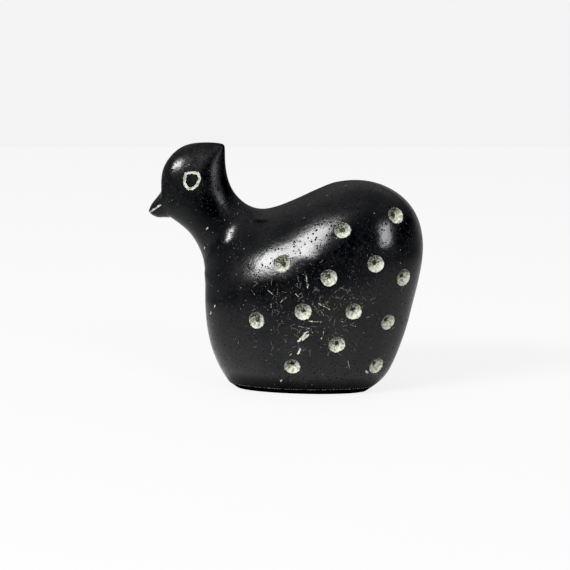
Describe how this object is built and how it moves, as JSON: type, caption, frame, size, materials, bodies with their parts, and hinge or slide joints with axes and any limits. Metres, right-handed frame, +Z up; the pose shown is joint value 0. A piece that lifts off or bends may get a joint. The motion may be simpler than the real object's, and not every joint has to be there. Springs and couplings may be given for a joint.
{
  "type": "soapstone bird carving",
  "caption": "Small guinea fowl ornament carved from one block of black-dyed soapstone, with pale scraped cups on its flanks, standing on its own flat foot.",
  "frame": {"origin": "middle of the flat foot that the bird stands on", "axes": "+Z up, the bird looks along -X, and its two flanks face -Y and +Y"},
  "size_m": [0.077, 0.035, 0.0684],
  "materials": {
    "dyed_soapstone": "black-dyed and wax-polished soapstone with pale raw scraped cups, eye rings and bill lines"
  },
  "bodies": {
    "root": {"bird_carving": "dyed_soapstone"}
  },
  "joints": []
}
